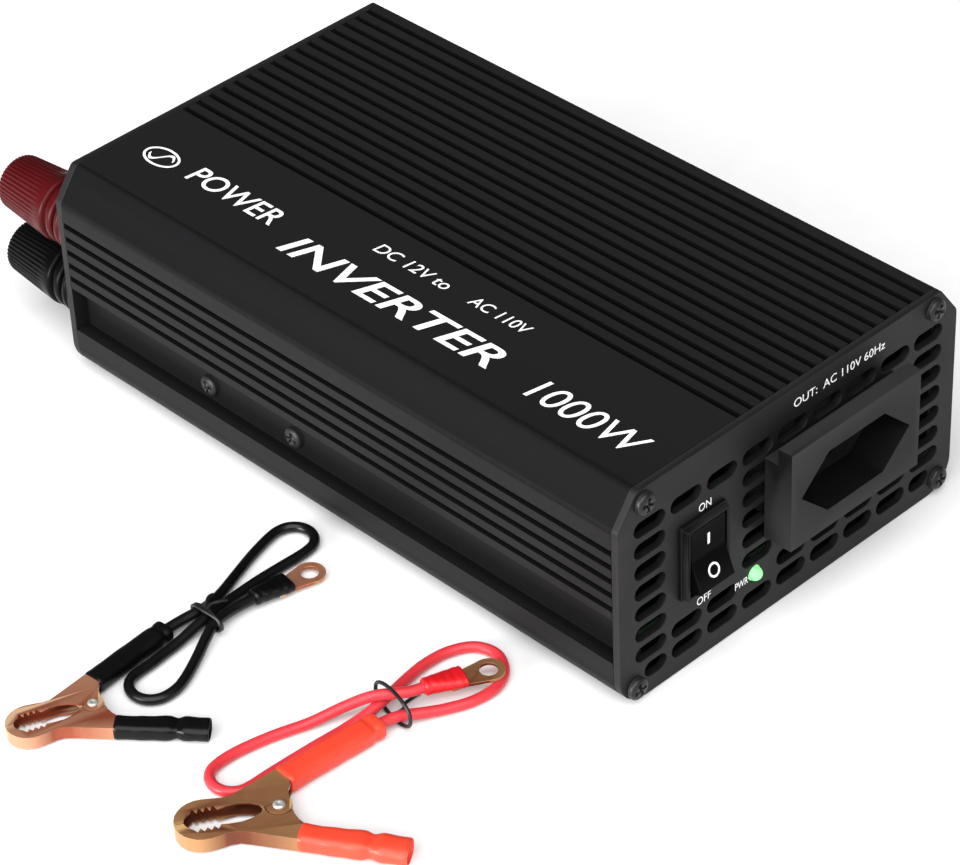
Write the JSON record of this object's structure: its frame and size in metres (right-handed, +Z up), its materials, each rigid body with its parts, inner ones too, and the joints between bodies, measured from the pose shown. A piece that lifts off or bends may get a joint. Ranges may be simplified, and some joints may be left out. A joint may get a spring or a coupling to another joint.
{
  "type": "power inverter",
  "caption": "Black finned power inverter with a mains socket, rocker switch and lamp on one end, two binding posts on the other, and a pair of battery clamp leads.",
  "frame": {"origin": "centre of the bottom of the inverter's own box, leads left out, on the surface it stands on", "axes": "+Z up, +Y from the mains socket end towards the binding posts, +X across the width, away from the leads"},
  "size_m": [0.2116, 0.226, 0.0585],
  "materials": {
    "case_paint": "satin black anodised extrusion",
    "panel_paint": "fine matt black coat",
    "black_screw": "blackened steel",
    "socket_plastic": "moulded black",
    "switch_plastic": "moulded black",
    "lamp_green": "lit diffused lens",
    "fan_plastic": "moulded black",
    "post_red": "dark red moulding",
    "post_black": "black moulding",
    "plated_steel": "bright plated",
    "contact_brass": "plain brass",
    "board_green": "solder mask",
    "ferrite": "sintered dark grey",
    "winding_tape": "yellow tape",
    "capacitor_sleeve": "dark blue shrink sleeve",
    "choke_yellow": "coated powder core",
    "enamelled_copper": "enamelled copper",
    "component_black": "epoxy",
    "bar_aluminium": "mill finish",
    "pad_grey": "thermal pad",
    "fuse_green": "clear green",
    "wire_red": "PVC",
    "wire_black": "PVC",
    "clamp_bronze": "bronze-coloured plating",
    "clamp_copper": "copper-coloured plating",
    "sleeve_red": "soft glossy PVC",
    "sleeve_black": "soft glossy PVC",
    "cable_red": "soft PVC",
    "cable_black": "soft PVC",
    "tie_black": "coated wire",
    "lug_red": "shrink sleeve"
  },
  "bodies": {
    "inverter": {"case_extrusion": "case_paint", "front_panel": "panel_paint", "rear_panel": "panel_paint", "front_panel_screws": "black_screw", "rear_panel_screws": "black_screw", "side_screws": "black_screw", "socket_housing": "socket_plastic", "socket_insert": "socket_plastic", "socket_contacts": "contact_brass", "switch_housing": "switch_plastic", "switch_terminals": "contact_brass", "led_lens": "lamp_green", "fan_frame": "fan_plastic", "fan_screws": "black_screw", "red_post_base": "post_red", "black_post_base": "post_black", "dc_studs": "contact_brass", "stud_nuts": "plated_steel", "circuit_board": "board_green", "transformer_cores": "ferrite", "transformer_windings": "winding_tape", "capacitors": "capacitor_sleeve", "choke_core": "choke_yellow", "choke_winding": "enamelled_copper", "power_transistors": "component_black", "clamp_bars": "bar_aluminium", "insulating_pads": "pad_grey", "control_board": "board_green", "control_chips": "component_black", "fuses": "fuse_green", "buzzer": "component_black", "dc_wire_red": "wire_red", "dc_wire_black": "wire_black", "hookup_wires": "wire_red"},
    "fan_rotor": {"fan_rotor": "fan_plastic"},
    "rocker": {"switch_rocker": "switch_plastic"},
    "red_washer": {"red_washer": "plated_steel"},
    "red_knob": {"red_knob": "post_red"},
    "black_washer": {"black_washer": "plated_steel"},
    "black_knob": {"black_knob": "post_black"},
    "red_lead": {"red_fixed_jaw": "clamp_bronze", "red_rivet": "plated_steel", "red_spring": "plated_steel", "red_upper_sleeve": "sleeve_red", "red_cable": "cable_red", "red_tie": "tie_black", "red_lug_sleeve": "lug_red", "red_lug": "clamp_bronze"},
    "red_jaw": {"red_moving_jaw": "clamp_bronze", "red_lower_sleeve": "sleeve_red"},
    "black_lead": {"black_fixed_jaw": "clamp_copper", "black_rivet": "plated_steel", "black_spring": "plated_steel", "black_upper_sleeve": "sleeve_black", "black_cable": "cable_black", "black_tie": "tie_black", "black_lug_sleeve": "sleeve_black", "black_lug": "clamp_copper"},
    "black_jaw": {"black_moving_jaw": "clamp_copper", "black_lower_sleeve": "sleeve_black"}
  },
  "joints": [
    {"name": "fan_spin", "type": "hinge", "parent": "inverter", "child": "fan_rotor", "pos_m": [0.012, 0.076, 0.0279], "axis": [0, 1, 0], "continuous": true},
    {"name": "rocker_tilt", "type": "hinge", "parent": "inverter", "child": "rocker", "pos_m": [-0.0297, -0.105, 0.0306], "axis": [1, 0, 0], "range_deg": [0, 22]},
    {"name": "red_washer_slide", "type": "slide", "parent": "inverter", "child": "red_washer", "axis": [0, 1, 0], "range_m": [0, 0.0021]},
    {"name": "red_knob_turn", "type": "hinge", "parent": "red_washer", "child": "red_knob", "pos_m": [-0.0448, 0.1, 0.0371], "axis": [0, 1, 0], "range_deg": [0, 1085]},
    {"name": "black_washer_slide", "type": "slide", "parent": "inverter", "child": "black_washer", "axis": [0, 1, 0], "range_m": [0, 0.0021]},
    {"name": "black_knob_turn", "type": "hinge", "parent": "black_washer", "child": "black_knob", "pos_m": [-0.0448, 0.1, 0.0178], "axis": [0, 1, 0], "range_deg": [0, 1085]},
    {"name": "red_lead_lift", "type": "slide", "parent": "inverter", "child": "red_lead", "axis": [0, 0, 1], "range_m": [0, 0.1]},
    {"name": "red_clamp_open", "type": "hinge", "parent": "red_lead", "child": "red_jaw", "pos_m": [-0.1305, -0.0755, 0.003], "axis": [0, 0, 1], "range_deg": [0, 22], "stiffness_Nm_per_rad": 0.06, "springref_deg": -20.05},
    {"name": "black_lead_lift", "type": "slide", "parent": "inverter", "child": "black_lead", "axis": [0, 0, 1], "range_m": [0, 0.1]},
    {"name": "black_clamp_open", "type": "hinge", "parent": "black_lead", "child": "black_jaw", "pos_m": [-0.1365, -0.0205, 0.003], "axis": [0, 0, 1], "range_deg": [0, 22], "stiffness_Nm_per_rad": 0.06, "springref_deg": -20.05}
  ],
  "couplings": [
    {"joint": "red_knob_turn", "follows": "red_washer_slide", "rad_per_m": 8976},
    {"joint": "black_knob_turn", "follows": "black_washer_slide", "rad_per_m": 8976}
  ]
}
